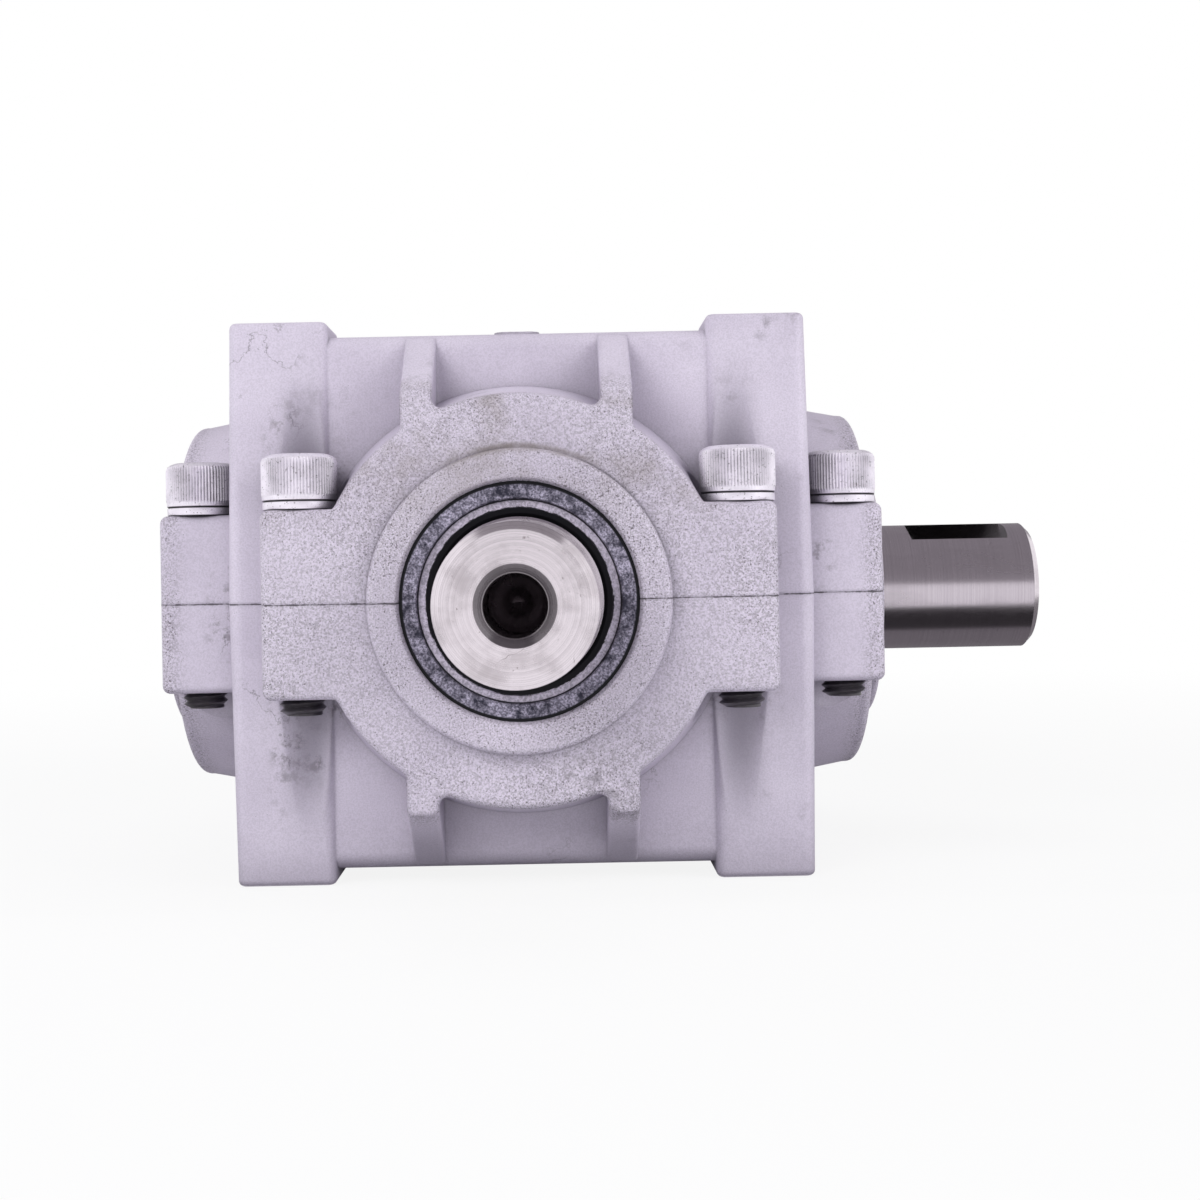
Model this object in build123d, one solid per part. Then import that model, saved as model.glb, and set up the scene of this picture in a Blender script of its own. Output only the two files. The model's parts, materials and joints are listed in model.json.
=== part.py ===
from build123d import *
import math
import os

# All sizes are millimetres. "Reach" is a distance out from the point where the two
# shaft axes cross, "level" a height above or below the parting plane of the housing.

# Housing castings
axis_height = 49.5
body_level = 47.0
wall_reach = 50.6
wall_corner_radius = 6.0
body_edge_radius = 3.0
draft_angle = 1.0
post_width = 19.0
post_corner_radius = 2.5
post_end_radius = 1.0
casting_wall = 7.1
cavity_corner_cut = 20.0
cavity_level = 41.0
cavity_edge_radius = 3.0
gate_pad_width = 8.0
gate_pad_length = 9.0
gate_pad_height = 0.4

# Side bosses, flanges and ribs
boss_reach = 65.0
boss_radius = 35.0
boss_flare = 2.4
ring_radius = 25.5
ring_height = 3.5
ring_edge_radius = 1.2
flange_width = 87.0
flange_level = 16.0
outline_corner_radius = 1.5
outline_edge_radius = 1.4
rib_spread = 16.9
rib_width = 5.4
rib_nose_level = 36.0
rib_root_level = 46.3
rib_root_reach = 49.5
rib_edge_radius = 0.8

# Flange screws
screw_dia = 8.0
screw_spread = 37.5
screw_reach = 58.2
screw_head_dia = 13.0
screw_head_height = 8.0
screw_head_edge = 0.7
screw_length = 36.5
socket_width = 6.0
socket_depth = 4.2
screw_tip_chamfer = 0.8
screw_hole_clearance = 0.5
thread_fit_clearance = 0.05
washer_thickness = 1.6
washer_dia = 12.7
washer_bore_clearance = 0.15
washer_slit = 0.7
wrench_room_foot = 2.3
wrench_room_top = 0.8
wrench_room_level = 44.0

# Mounting holes and dowels in the posts
mount_spacing = 84.0
foot_tap_dia = 6.8
foot_hole_depth = 16.0
top_tap_dia = 5.0
top_hole_depth = 13.0
drill_tip_angle = 118.0
dowel_dia = 6.0
dowel_length = 12.0
dowel_hole_spare = 0.5

# Shafts
shaft_dia = 25.0
shaft_end_reach = 101.5
shaft_chamfer = 1.2
seal_seat_dia = 28.0
seal_seat_end = 69.5
gear_seat_dia = 22.0
left_journal_dia = 20.0
front_shaft_inner_end = 13.5
seat_chamfer = 0.4
end_thread_dia = 9.6
end_hole_depth = 24.0
end_sink_dia = 12.6
half_round_width = 8.0
half_round_dia = 22.4
half_round_depth = 6.0
half_round_reach = 86.8
right_key_turn = 202.0
front_key_turn = 68.0

# Bearings, oil seals and end caps
bearing_width = 15.0
bearing_outer_dia = 52.0
bearing_face_reach = 61.0
bearing_lip = 2.0
bearing_lip_dia = 45.0
bearing_corner = 1.0
ball_dia_25 = 7.94
ball_count_25 = 9
ball_dia_20 = 9.53
ball_count_20 = 7
raceway_clearance = 0.03
cage_thickness = 1.8
cage_pocket_clearance = 0.12
seal_outer_dia = 40.0
seal_width = 7.0
seal_lip_clearance = 0.04
garter_wire_dia = 1.4
cap_web = 1.5
cap_dish = 1.4
tube_wall = 4.5
tube_web_width = 6.0

# Mitre bevel gears
gear_module = 2.5
gear_teeth = 20
face_width = 10.0
pressure_angle = 20.0
addendum_factor = 1.0
dedendum_factor = 1.25
flank_clearance = 0.06
root_flare = 0.3
gear_hub_dia = 33.0
gear_hub_reach = 31.0
gear_back_reach = 28.2
gear_toe_hub_dia = 28.0
gear_bore_clearance = 0.02
gear_key_width = 6.0
gear_key_height = 6.0
gear_key_length = 10.0
gear_key_seat_depth = 3.5
key_top_clearance = 0.2
key_side_clearance = 0.02
circlip_thickness = 1.2
circlip_groove_dia = 21.0
circlip_outer_dia = 27.6
circlip_gap = 4.0
circlip_axial_play = 0.05
spacer_dia = 31.0

# Sizes that follow from the ones above
ring_reach = boss_reach + ring_height
bearing_inner_reach = bearing_face_reach - bearing_width
second_bearing_reach = bearing_inner_reach - bearing_width
cavity_reach = wall_reach - casting_wall
post_place = mount_spacing / 2
pitch_radius = gear_module * gear_teeth / 2
cone_distance = pitch_radius * math.sqrt(2)
toe_scale = 1 - face_width / cone_distance
gear_toe_reach = pitch_radius * toe_scale - 0.9
screw_seat_level = flange_level + washer_thickness

to_right = Rot(0, 90, 0)
to_left = Rot(0, -90, 0)
to_front = Rot(90, 0, 0)
to_rear = Rot(-90, 0, 0)
above_feet = Pos(0, 0, axis_height)


def square_corners(half):
    return [(x, y) for x in (-half, half) for y in (-half, half)]


def around(shape, count):
    """Copies of a shape turned evenly about the upright axis."""
    return [Rot(0, 0, 360 * step / count) * shape for step in range(count)]


def turned(points):
    """A turned solid about Z from (place along the axis, radius) points."""
    outline = Polyline([(radius, 0, place) for place, radius in points], close=True)
    return revolve(make_face(outline), Axis.Z)


def tube(outer, inner, start, end):
    length = end - start
    ring = Cylinder(outer, length) - Cylinder(inner, length)
    return Pos(0, 0, (start + end) / 2) * ring


def rod(radius, start, end):
    return Pos(0, 0, (start + end) / 2) * Cylinder(radius, end - start)


def drilled(dia, depth):
    """A drilled hole with its mouth at the origin, going down."""
    radius = dia / 2
    tip = radius / math.tan(math.radians(drill_tip_angle / 2))
    points = [(0, 0), (0, radius), (-depth, radius), (-depth - tip, 0)]
    return turned(points)


def key_box(width, low, high, start, end):
    """A box along the shaft on its local +X side, from one radius to another."""
    box = Box(high - low, width, end - start)
    return Pos((low + high) / 2, 0, (start + end) / 2) * box


def side_outline(ribbed):
    """Boss, flange and any rib noses as one outline, looking at the side of the housing."""
    outline = Rectangle(flange_width, 2 * flange_level) + Circle(boss_radius)
    for side in (-1, 1) if ribbed else ():
        nose = Rectangle(rib_width, 2 * rib_nose_level)
        outline += Pos(side * rib_spread, 0) * nose
    return outline


def rib():
    """One of the ribs that tie a boss to the top of the body."""
    points = [
        (cavity_reach, boss_radius / 2),
        (boss_reach - 1, boss_radius / 2),
        (boss_reach - 1, rib_nose_level - 0.4),
        (rib_root_reach, rib_root_level),
        (cavity_reach, rib_root_level),
    ]
    profile = make_face(Polyline([(x, 0, z) for x, z in points], close=True))
    plate = extrude(profile, rib_width / 2, dir=(0, 1, 0), both=True)
    slanted = [e for e in plate.edges() if abs(e.tangent_at(0).X * e.tangent_at(0).Z) > 0.1]
    return fillet(slanted, rib_edge_radius)


def side_boss(ribbed):
    """Boss, flange, raised ring and any ribs, made on the +X side."""
    depth = boss_reach - cavity_reach
    block = extrude(Plane.YZ.offset(cavity_reach) * side_outline(ribbed), depth)
    corners = [edge for edge in block.edges() if abs(edge.tangent_at(0).X) > 0.9]
    block = fillet(corners, outline_corner_radius)
    rim = block.faces().sort_by(Axis.X)[-1].outer_wire().edges()
    block = fillet(rim, outline_edge_radius)
    cone_depth = boss_reach - 2 - wall_reach
    cone = Cone(boss_radius + boss_flare, boss_radius, cone_depth)
    ring = Cylinder(ring_radius, ring_height)
    ring = fillet(ring.faces().sort_by(Axis.Z)[-1].edges(), ring_edge_radius)
    parts = block
    parts += to_right * Pos(0, 0, wall_reach + cone_depth / 2) * cone
    parts += to_right * Pos(0, 0, boss_reach + ring_height / 2) * ring
    for side in (-1, 1) if ribbed else ():
        parts += Pos(0, side * rib_spread, 0) * rib()
    return parts


def body_block():
    block = extrude(
        RectangleRounded(2 * wall_reach, 2 * wall_reach, wall_corner_radius),
        amount=body_level,
        taper=draft_angle,
    )
    return fillet(block.faces().sort_by(Axis.Z)[-1].edges(), body_edge_radius)


def post():
    """One corner post, standing proud of the body at its end."""
    block = extrude(
        RectangleRounded(post_width, post_width, post_corner_radius),
        amount=axis_height,
        taper=draft_angle,
    )
    return fillet(block.faces().sort_by(Axis.Z)[-1].edges(), post_end_radius)


def wrench_room():
    """Room beside the post for the screw head and the key that turns it."""
    head_radius = screw_head_dia / 2
    height = wrench_room_level - flange_level
    cone = Cone(head_radius + wrench_room_foot, head_radius + wrench_room_top, height)
    return Pos(screw_reach, screw_spread, flange_level + height / 2) * cone


def cavity():
    """The gear room, with solid corners left for the mounting holes and dowels."""
    square = Rectangle(2 * cavity_reach, 2 * cavity_reach)
    turned_reach = (2 * post_place - cavity_corner_cut) * math.sqrt(2)
    room = square & Rot(0, 0, 45) * Rectangle(turned_reach, turned_reach)
    room = fillet(room.vertices(), cavity_edge_radius)
    block = extrude(room, amount=cavity_level, taper=draft_angle)
    return fillet(block.faces().sort_by(Axis.Z)[-1].edges(), cavity_edge_radius)


def bearing_bore(inner_reach):
    """Stepped bore for one side: lip, bearing seat, seal seat with a small chamfer."""
    lip = bearing_lip_dia / 2
    seat = bearing_outer_dia / 2
    seal = seal_outer_dia / 2
    points = [
        (inner_reach - bearing_lip - 2, 0),
        (inner_reach - bearing_lip - 2, lip),
        (inner_reach, lip),
        (inner_reach, seat),
        (bearing_face_reach, seat),
        (bearing_face_reach, seal),
        (ring_reach - 0.5, seal),
        (ring_reach + 1, seal + 1.5),
        (ring_reach + 1, 0),
    ]
    return turned(points)


def blind_bore():
    """The rear bore is machined only for its end cap."""
    seal = seal_outer_dia / 2
    points = [
        (cavity_reach - 1, 0),
        (cavity_reach - 1, seal - 2),
        (bearing_face_reach, seal - 2),
        (bearing_face_reach, seal),
        (ring_reach - 0.5, seal),
        (ring_reach + 1, seal + 1.5),
        (ring_reach + 1, 0),
    ]
    return turned(points)


def front_tube():
    """Inner tube that carries the second bearing of the front shaft, with its web."""
    outer = bearing_outer_dia / 2 + tube_wall
    start = second_bearing_reach - bearing_lip
    barrel = to_front * rod(outer, start, cavity_reach + 1)
    length = cavity_reach + 1 - start
    height = cavity_level + 1
    web = Box(tube_web_width, length, height)
    return barrel + Pos(0, -(start + length / 2), height / 2) * web


def with_mount_holes(blank, dia, depth):
    for x, y in square_corners(post_place):
        blank -= Pos(x, y, axis_height) * drilled(dia, depth)
    return blank


def half_blank():
    """The upper casting before the flange and mounting holes are drilled."""
    blank = body_block()
    for x, y in square_corners(post_place):
        blank += Pos(x, y) * post()
    for side in around(side_boss(False), 2):
        blank += side
    for side in around(Rot(0, 0, 90) * side_boss(True), 2):
        blank += side
    upper = Pos(0, 0, shaft_end_reach) * Box(4 * boss_reach, 4 * boss_reach, 2 * shaft_end_reach)
    blank &= upper
    blank -= cavity()
    blank += front_tube() & upper
    blank -= to_right * bearing_bore(bearing_inner_reach)
    blank -= to_left * bearing_bore(bearing_inner_reach)
    blank -= to_front * bearing_bore(second_bearing_reach)
    blank -= to_rear * blind_bore()
    for place in wrench_rooms():
        blank -= place
    for x, y in dowel_places():
        blank -= Pos(x, y) * rod(dowel_dia / 2, -1, dowel_length / 2 + dowel_hole_spare)
    return blank


def wrench_rooms():
    pair = [wrench_room(), wrench_room().mirror(Plane.XZ)]
    return [copy for room in pair for copy in around(room, 4)]


def screw_places():
    places = []
    for turn in range(4):
        for side in (-1, 1):
            place = Rot(0, 0, 90 * turn) * Pos(screw_reach, side * screw_spread)
            places.append(place)
    return places


def dowel_places():
    return [(post_place, post_place), (-post_place, -post_place)]


def gate_pad():
    """Small flat left by the casting gate on the top front edge."""
    pad = Box(gate_pad_width, gate_pad_length, 2 * gate_pad_height)
    back = wall_reach - body_edge_radius - gate_pad_length / 2
    return Pos(0, -back + 0.3, body_level) * fillet(pad.edges().filter_by(Axis.Z), 2)


def upper_housing(blank):
    hole = rod(screw_dia / 2 + screw_hole_clearance, -1, flange_level + 1)
    casting = with_mount_holes(blank, top_tap_dia, top_hole_depth) + gate_pad()
    for place in screw_places():
        casting -= place * hole
    return casting


def lower_housing(blank):
    hole = rod(screw_dia / 2 + thread_fit_clearance, -flange_level - 1, 1)
    casting = with_mount_holes(blank, foot_tap_dia, foot_hole_depth).mirror(Plane.XY)
    for place in screw_places():
        casting -= place * hole
    return casting


def cap_screw():
    """Socket cap screw with its seat at the top of the spring washer."""
    head = Cylinder(screw_head_dia / 2, screw_head_height)
    head = fillet(head.faces().sort_by(Axis.Z)[-1].edges(), screw_head_edge)
    head = Pos(0, 0, screw_seat_level + screw_head_height / 2) * head
    tip = screw_seat_level - screw_length
    radius = screw_dia / 2
    shank = turned([
        (screw_seat_level + 1, 0),
        (screw_seat_level + 1, radius),
        (tip + screw_tip_chamfer, radius),
        (tip, radius - screw_tip_chamfer),
        (tip, 0),
    ])
    top = screw_seat_level + screw_head_height
    socket = RegularPolygon(socket_width / 2, 6, major_radius=False)
    socket = extrude(Plane.XY.offset(top) * socket, -socket_depth)
    return head + shank - socket


def spring_washer():
    inner = screw_dia / 2 + washer_bore_clearance
    ring = tube(washer_dia / 2, inner, flange_level, screw_seat_level)
    slit = Box(washer_dia, washer_slit, 4 * washer_thickness)
    slit = Pos(washer_dia / 2, 0, flange_level) * Rot(20, 0, 0) * slit
    return ring - slit


def screw_set(piece):
    return Compound(children=[place * piece for place in screw_places()])


def dowel():
    pin = Cylinder(dowel_dia / 2, dowel_length)
    ends = pin.edges().filter_by(GeomType.CIRCLE)
    return chamfer(ends, 0.5)


def half_round_seat(turn):
    """Seat cut by a disc cutter: straight ends at the surface, round floor."""
    centre = shaft_dia / 2 - half_round_depth + half_round_dia / 2
    disc = Rot(90, 0, 0) * Cylinder(half_round_dia / 2, half_round_width)
    return Rot(0, 0, turn) * Pos(centre, 0, half_round_reach) * disc


def end_hole():
    """Tapped centre hole in the shaft end, with its countersink."""
    sink = end_sink_dia / 2
    hole = drilled(end_thread_dia, end_hole_depth)
    cone = turned([(0, 0), (0, sink), (-sink, 0)])
    return Pos(0, 0, shaft_end_reach) * (hole + cone)


def outer_steps():
    """Profile from the bearing shoulder to the chamfered end of either shaft."""
    radius = shaft_dia / 2
    return [
        (bearing_face_reach, radius),
        (bearing_face_reach, seal_seat_dia / 2),
        (seal_seat_end - seat_chamfer, seal_seat_dia / 2),
        (seal_seat_end, seal_seat_dia / 2 - seat_chamfer),
        (seal_seat_end, radius),
        (shaft_end_reach - shaft_chamfer, radius),
        (shaft_end_reach, radius - shaft_chamfer),
        (shaft_end_reach, 0),
    ]


def circlip_groove():
    """The groove that holds the circlip against the toe face of a gear."""
    low = gear_toe_reach - circlip_thickness - 2 * circlip_axial_play
    return tube(gear_seat_dia, circlip_groove_dia / 2, low, gear_toe_reach)


def gear_key_seat():
    low = gear_seat_dia / 2 - gear_key_seat_depth
    start = gear_hub_reach - gear_key_length - 1
    return key_box(gear_key_width, low, gear_seat_dia, start, gear_hub_reach - 1)


def cross_shaft():
    """Shaft along X: left journal, gear seat, bearing seat, seal seat, output end."""
    journal = left_journal_dia / 2
    seat = gear_seat_dia / 2
    points = [
        (-bearing_face_reach, 0),
        (-bearing_face_reach, journal - seat_chamfer),
        (-bearing_face_reach + seat_chamfer, journal),
        (-bearing_inner_reach, journal),
        (-bearing_inner_reach, seat),
        (bearing_inner_reach, seat),
        (bearing_inner_reach, shaft_dia / 2),
    ]
    shaft = turned(points + outer_steps())
    shaft -= circlip_groove()
    shaft -= gear_key_seat()
    shaft -= end_hole()
    shaft -= half_round_seat(right_key_turn)
    return to_right * shaft


def front_shaft():
    """Overhung shaft along -Y, carried by two bearings behind the gear."""
    seat = gear_seat_dia / 2
    points = [
        (front_shaft_inner_end, 0),
        (front_shaft_inner_end, seat - seat_chamfer),
        (front_shaft_inner_end + seat_chamfer, seat),
        (gear_hub_reach, seat),
        (gear_hub_reach, shaft_dia / 2),
    ]
    shaft = turned(points + outer_steps())
    shaft -= circlip_groove()
    shaft -= gear_key_seat()
    shaft -= end_hole()
    shaft -= half_round_seat(front_key_turn)
    return to_front * shaft


def gear_key():
    low = gear_seat_dia / 2 - gear_key_seat_depth
    start = gear_hub_reach - gear_key_length - 1
    width = gear_key_width - 2 * key_side_clearance
    return key_box(width, low, low + gear_key_height, start, gear_hub_reach - 1)


def circlip():
    high = gear_toe_reach - circlip_axial_play
    ring = tube(circlip_outer_dia / 2, circlip_groove_dia / 2, high - circlip_thickness, high)
    gap = Box(circlip_outer_dia, circlip_gap, 3 * circlip_thickness)
    return ring - Pos(circlip_outer_dia / 2, 0, high) * gap


def spacer_sleeve():
    inner = gear_seat_dia / 2 + gear_bore_clearance
    sleeve = tube(spacer_dia / 2, inner, gear_hub_reach, bearing_inner_reach)
    return chamfer(sleeve.edges().filter_by(GeomType.CIRCLE), 0.4)


def involute_angle(angle):
    return math.tan(angle) - angle


def tooth_half_width(radius, virtual_radius):
    """Half the tooth thickness at a radius of the developed back cone."""
    base = virtual_radius * math.cos(math.radians(pressure_angle))
    at_pitch = math.pi * gear_module / 4 - flank_clearance
    here = involute_angle(math.acos(min(1, base / radius)))
    spread = involute_angle(math.radians(pressure_angle)) - here
    return radius * (at_pitch / virtual_radius + spread)


def gap_flank():
    """One flank of a tooth gap as (radius, half gap) on the developed back cone."""
    virtual_radius = cone_distance
    top = virtual_radius + gear_module * addendum_factor + 0.6
    root = virtual_radius - gear_module * dedendum_factor
    base = virtual_radius * math.cos(math.radians(pressure_angle))
    half_pitch = math.pi * gear_module / 2 / virtual_radius

    def half_gap(radius):
        return radius * half_pitch - tooth_half_width(radius, virtual_radius)

    flank = [(root, half_gap(base) - root_flare), (root + root_flare, half_gap(base))]
    for step in range(5):
        radius = base + (top - base) * step / 4
        flank.append((radius, half_gap(radius)))
    return flank


def gap_section(scale):
    """Gap outline square to the pitch cone, sized by its share of the cone distance."""
    lean = 1 / math.sqrt(2)

    def placed(radius, side):
        rise = radius - cone_distance
        out = pitch_radius + rise * lean
        along = pitch_radius - rise * lean
        return (out * scale, side * scale, along * scale)

    right = [placed(radius, side) for radius, side in gap_flank()]
    left = [placed(radius, -side) for radius, side in gap_flank()]
    edges = [
        Spline(right),
        Line(right[-1], left[-1]),
        Spline(left[::-1]),
        Line(left[0], right[0]),
    ]
    return make_face(Wire(edges))


def gear_blank():
    """Turned gear before its teeth are cut: hub, toe face, tip cone and back cone."""
    fall = gear_module * dedendum_factor / math.sqrt(2)
    rise = gear_module * addendum_factor / math.sqrt(2)
    toe = pitch_radius * toe_scale
    heel_along = pitch_radius + fall
    back_out = pitch_radius - fall - (gear_back_reach - heel_along)
    bore = gear_seat_dia / 2 + gear_bore_clearance
    points = [
        (gear_toe_reach, bore),
        (gear_toe_reach, gear_toe_hub_dia / 2),
        (toe + fall * toe_scale, toe - fall * toe_scale),
        (toe - rise * toe_scale, toe + rise * toe_scale),
        (pitch_radius - rise, pitch_radius + rise),
        (gear_back_reach, back_out),
        (gear_back_reach, gear_hub_dia / 2 + 1),
        (gear_back_reach + 1, gear_hub_dia / 2),
        (gear_hub_reach, gear_hub_dia / 2),
        (gear_hub_reach, bore),
    ]
    return turned(points)


def bevel_gear(first_gap):
    """Mitre gear along Z with its apex at the origin, its keyway toward +X."""
    gap = loft([gap_section(toe_scale * 0.9), gap_section(1.1)], ruled=True)
    gear = gear_blank()
    for copy in around(Rot(0, 0, first_gap) * gap, gear_teeth):
        gear -= copy
    keyway_top = gear_seat_dia / 2 - gear_key_seat_depth + gear_key_height + key_top_clearance
    return gear - key_box(gear_key_width, 0, keyway_top, 0, gear_hub_reach + 1)


def bearing_pitch_radius(bore_dia):
    return (bore_dia + bearing_outer_dia) / 4 + 0.1


def ball_groove(bore_dia, ball_dia):
    groove = Torus(bearing_pitch_radius(bore_dia), ball_dia / 2 + raceway_clearance)
    return groove


def bearing_ring(low, high, bore_dia, ball_dia):
    ring = Cylinder(high, bearing_width) - Cylinder(low, bearing_width)
    ring = chamfer(ring.edges().filter_by(GeomType.CIRCLE), bearing_corner / 2)
    return ring - ball_groove(bore_dia, ball_dia)


def outer_ring(bore_dia, ball_dia):
    shoulder = bearing_pitch_radius(bore_dia) + 0.31 * ball_dia
    return bearing_ring(shoulder, bearing_outer_dia / 2, bore_dia, ball_dia)


def inner_ring(bore_dia, ball_dia):
    shoulder = bearing_pitch_radius(bore_dia) - 0.31 * ball_dia
    return bearing_ring(bore_dia / 2, shoulder, bore_dia, ball_dia)


def balls(bore_dia, ball_dia, count):
    ball = Pos(bearing_pitch_radius(bore_dia), 0, 0) * Sphere(ball_dia / 2)
    return around(ball, count)


def ball_set(bore_dia, ball_dia, count):
    return Compound(children=balls(bore_dia, ball_dia, count))


def ball_cage(bore_dia, ball_dia, count):
    pitch = bearing_pitch_radius(bore_dia)
    width = ball_dia + 2
    cage = Cylinder(pitch + cage_thickness / 2, width) - Cylinder(pitch - cage_thickness / 2, width)
    drill = Cylinder(ball_dia / 2 + cage_pocket_clearance, 4 * cage_thickness)
    pocket = Pos(pitch, 0, 0) * Rot(0, 90, 0) * drill
    for copy in around(pocket, count):
        cage -= copy
    return cage


def oil_seal():
    """Rubber-covered seal, main lip and dust lip on the shaft, outer face up."""
    outer = seal_outer_dia / 2
    lip = seal_seat_dia / 2 + seal_lip_clearance
    points = [
        (0, outer),
        (7, outer),
        (7, outer - 2.8),
        (6.1, outer - 3.2),
        (6.1, lip + 1.8),
        (6.9, lip + 1.4),
        (6.7, lip + 0.6),
        (6.0, lip),
        (5.2, lip + 1.0),
        (4.0, lip + 1.0),
        (2.9, lip),
        (1.5, lip + 1.2),
        (1.5, lip + 2.3),
        (2.6, lip + 2.3),
        (3.4, lip + 2.6),
        (4.6, lip + 2.6),
        (4.6, outer - 1.8),
        (0, outer - 1.8),
    ]
    return Pos(0, 0, bearing_face_reach) * turned(points)


def garter_spring():
    wire = garter_wire_dia / 2
    major = seal_seat_dia / 2 + seal_lip_clearance + 2.33 + wire
    return Pos(0, 0, bearing_face_reach + 2.1) * Torus(major, wire)


def end_cap():
    """Pressed cap that closes a bore with no shaft in it."""
    outer = seal_outer_dia / 2
    face = seal_width - cap_dish
    points = [
        (0, outer),
        (seal_width, outer),
        (seal_width, outer - 2.4),
        (face, outer - 3.4),
        (face, 0),
        (face - cap_web, 0),
        (face - cap_web, outer - 2),
        (0, outer - 2),
    ]
    return Pos(0, 0, bearing_face_reach) * turned(points)


def save(piece, name):
    export_step(above_feet * piece, f"parts/{name}.step")


def save_bearing(name, place, bore_dia, ball_dia, count):
    save(place * outer_ring(bore_dia, ball_dia), f"{name}_outer_ring")
    save(place * inner_ring(bore_dia, ball_dia), f"{name}_inner_ring")
    save(place * ball_set(bore_dia, ball_dia, count), f"{name}_balls")
    save(place * ball_cage(bore_dia, ball_dia, count), f"{name}_cage")


def save_housing():
    blank = half_blank()
    save(upper_housing(blank), "upper_housing")
    save(lower_housing(blank), "lower_housing")
    save(screw_set(cap_screw()), "cap_screws")
    save(screw_set(spring_washer()), "spring_washers")
    pins = [Pos(x, y) * dowel() for x, y in dowel_places()]
    save(Compound(children=pins), "dowel_pins")
    save(to_left * end_cap(), "left_end_cap")
    save(to_rear * end_cap(), "rear_end_cap")
    for side, turn in (("right", to_right), ("front", to_front)):
        save(turn * oil_seal(), f"{side}_oil_seal")
        save(turn * garter_spring(), f"{side}_garter_spring")


def save_running_gear():
    save(cross_shaft(), "cross_shaft")
    save(front_shaft(), "front_shaft")
    save(to_right * bevel_gear(0), "cross_gear")
    save(to_front * bevel_gear(180 / gear_teeth), "front_gear")
    for side, turn in (("cross", to_right), ("front", to_front)):
        save(turn * gear_key(), f"{side}_gear_key")
        save(turn * circlip(), f"{side}_circlip")
    save(to_right * spacer_sleeve(), "spacer_sleeve")


def save_bearings():
    outer_middle = bearing_face_reach - bearing_width / 2
    inner_middle = bearing_inner_reach - bearing_width / 2
    right = to_right * Pos(0, 0, outer_middle)
    left = to_left * Pos(0, 0, outer_middle)
    front_outer = to_front * Pos(0, 0, outer_middle)
    front_inner = to_front * Pos(0, 0, inner_middle)
    save_bearing("right_bearing", right, shaft_dia, ball_dia_25, ball_count_25)
    save_bearing("left_bearing", left, left_journal_dia, ball_dia_20, ball_count_20)
    save_bearing("front_bearing", front_outer, shaft_dia, ball_dia_25, ball_count_25)
    save_bearing("inner_bearing", front_inner, shaft_dia, ball_dia_25, ball_count_25)


os.makedirs("parts", exist_ok=True)
save_housing()
save_running_gear()
save_bearings()
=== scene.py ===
import json
import math

import bmesh
import bpy
import numpy as np
from mathutils import Matrix, Vector


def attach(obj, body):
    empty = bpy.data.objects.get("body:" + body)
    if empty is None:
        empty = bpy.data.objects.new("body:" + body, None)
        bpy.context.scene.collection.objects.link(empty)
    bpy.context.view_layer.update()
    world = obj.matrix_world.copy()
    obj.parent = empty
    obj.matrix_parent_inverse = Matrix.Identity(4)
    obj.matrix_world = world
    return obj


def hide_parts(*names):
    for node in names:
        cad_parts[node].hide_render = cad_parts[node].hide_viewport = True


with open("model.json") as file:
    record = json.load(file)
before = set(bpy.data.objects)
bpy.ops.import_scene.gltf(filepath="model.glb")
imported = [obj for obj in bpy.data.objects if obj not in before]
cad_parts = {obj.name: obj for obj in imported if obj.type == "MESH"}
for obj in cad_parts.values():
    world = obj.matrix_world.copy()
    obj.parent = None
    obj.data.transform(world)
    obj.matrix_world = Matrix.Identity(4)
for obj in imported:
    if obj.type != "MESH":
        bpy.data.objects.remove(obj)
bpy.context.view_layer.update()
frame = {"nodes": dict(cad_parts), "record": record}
nodes = frame["nodes"]
scene = bpy.context.scene
print("frame loaded")

axisHeight = 0.0495      # height of both shaft axes above the feet
screwSpread = 0.0375     # from a shaft axis sideways to the screws beside it
smoothBelow = 40.0       # degrees between faces that still shade as one surface


# small helpers for materials

def newMaterial(name):
    mat = bpy.data.materials.new(name)
    mat.use_nodes = True
    tree = mat.node_tree
    shader = tree.nodes["Principled BSDF"]
    return mat, tree, shader


def addNode(tree, kind, **values):
    node = tree.nodes.new(kind)
    for key, value in values.items():
        setattr(node, key, value)
    return node


def objectCoords(tree):
    return addNode(tree, "ShaderNodeTexCoord").outputs["Object"]


def noise(tree, coords, scale, detail=4.0, roughness=0.55):
    node = addNode(tree, "ShaderNodeTexNoise")
    node.inputs["Scale"].default_value = scale
    node.inputs["Detail"].default_value = detail
    node.inputs["Roughness"].default_value = roughness
    tree.links.new(coords, node.inputs["Vector"])
    return node.outputs["Fac"]


def ramp(tree, factor, low, high, smooth=False):
    # 0 below low, 1 above high
    node = addNode(tree, "ShaderNodeMapRange")
    node.interpolation_type = "SMOOTHSTEP" if smooth else "LINEAR"
    node.inputs["From Min"].default_value = low
    node.inputs["From Max"].default_value = high
    tree.links.new(factor, node.inputs["Value"])
    return node.outputs["Result"]


def maths(tree, operation, first, second=None):
    node = addNode(tree, "ShaderNodeMath", operation=operation)
    for socket, value in zip(node.inputs, (first, second)):
        if value is None:
            continue
        if isinstance(value, (int, float)):
            socket.default_value = value
        else:
            tree.links.new(value, socket)
    return node.outputs[0]


def mixColour(tree, factor, first, second):
    node = addNode(tree, "ShaderNodeMix", data_type="RGBA")
    sockets = [node.inputs["Factor"], node.inputs[6], node.inputs[7]]
    for socket, value in zip(sockets, (factor, first, second)):
        if isinstance(value, tuple):
            socket.default_value = (*value, 1)
        elif isinstance(value, (int, float)):
            socket.default_value = value
        else:
            tree.links.new(value, socket)
    return node.outputs[2]


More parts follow.
